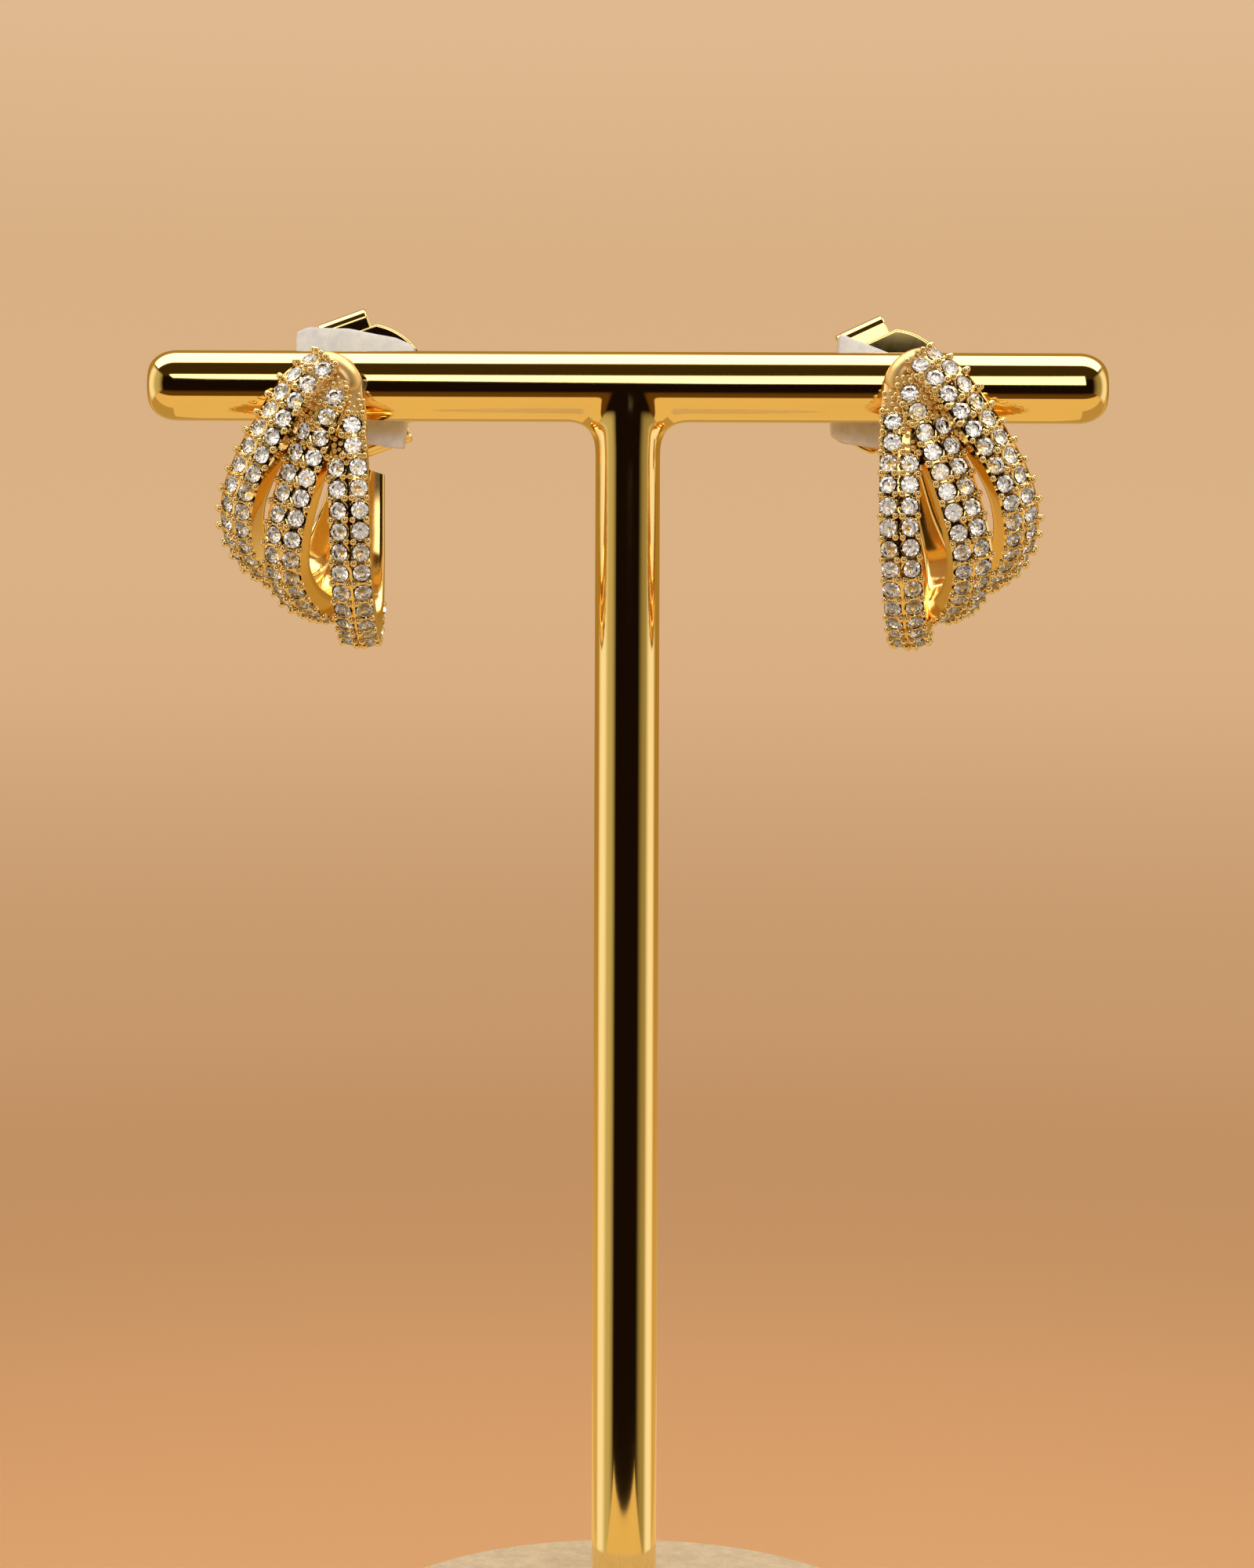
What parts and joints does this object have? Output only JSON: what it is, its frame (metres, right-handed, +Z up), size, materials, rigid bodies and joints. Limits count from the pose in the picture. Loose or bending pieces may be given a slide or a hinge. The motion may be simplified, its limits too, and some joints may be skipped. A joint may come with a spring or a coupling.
{
  "type": "pair of triple hoop earrings on a t-bar display stand",
  "caption": "Pair of paved triple hoop stud earrings with foam pads and butterfly clutches, hung on a T-bar display stand with a round base.",
  "frame": {"origin": "middle of the base's underside", "axes": "+Z up, +X along the bar to the right as seen from the front, +Y backwards, so the paved fronts face -Y"},
  "size_m": [0.06, 0.0332, 0.0911],
  "materials": {
    "speckled_stone": "matt, speckled",
    "polished_gold": "gold plated, mirror polish",
    "paved_gold": "gold plated, outer faces paved with clear stones",
    "white_foam": "soft white foam"
  },
  "bodies": {
    "stand_with_earrings": {"stand_base": "speckled_stone", "stand_tbar": "polished_gold", "earring_left": "paved_gold", "earring_right": "paved_gold", "pad_left": "white_foam", "pad_right": "white_foam"},
    "left_clutch": {"clutch_left": "polished_gold"},
    "right_clutch": {"clutch_right": "polished_gold"}
  },
  "joints": [
    {"name": "left_clutch_slide", "type": "slide", "parent": "stand_with_earrings", "child": "left_clutch", "axis": [0, 0.9976, 0.0698], "range_m": [0, 0.006]},
    {"name": "right_clutch_slide", "type": "slide", "parent": "stand_with_earrings", "child": "right_clutch", "axis": [0, 0.9997, 0.0262], "range_m": [0, 0.006]}
  ]
}
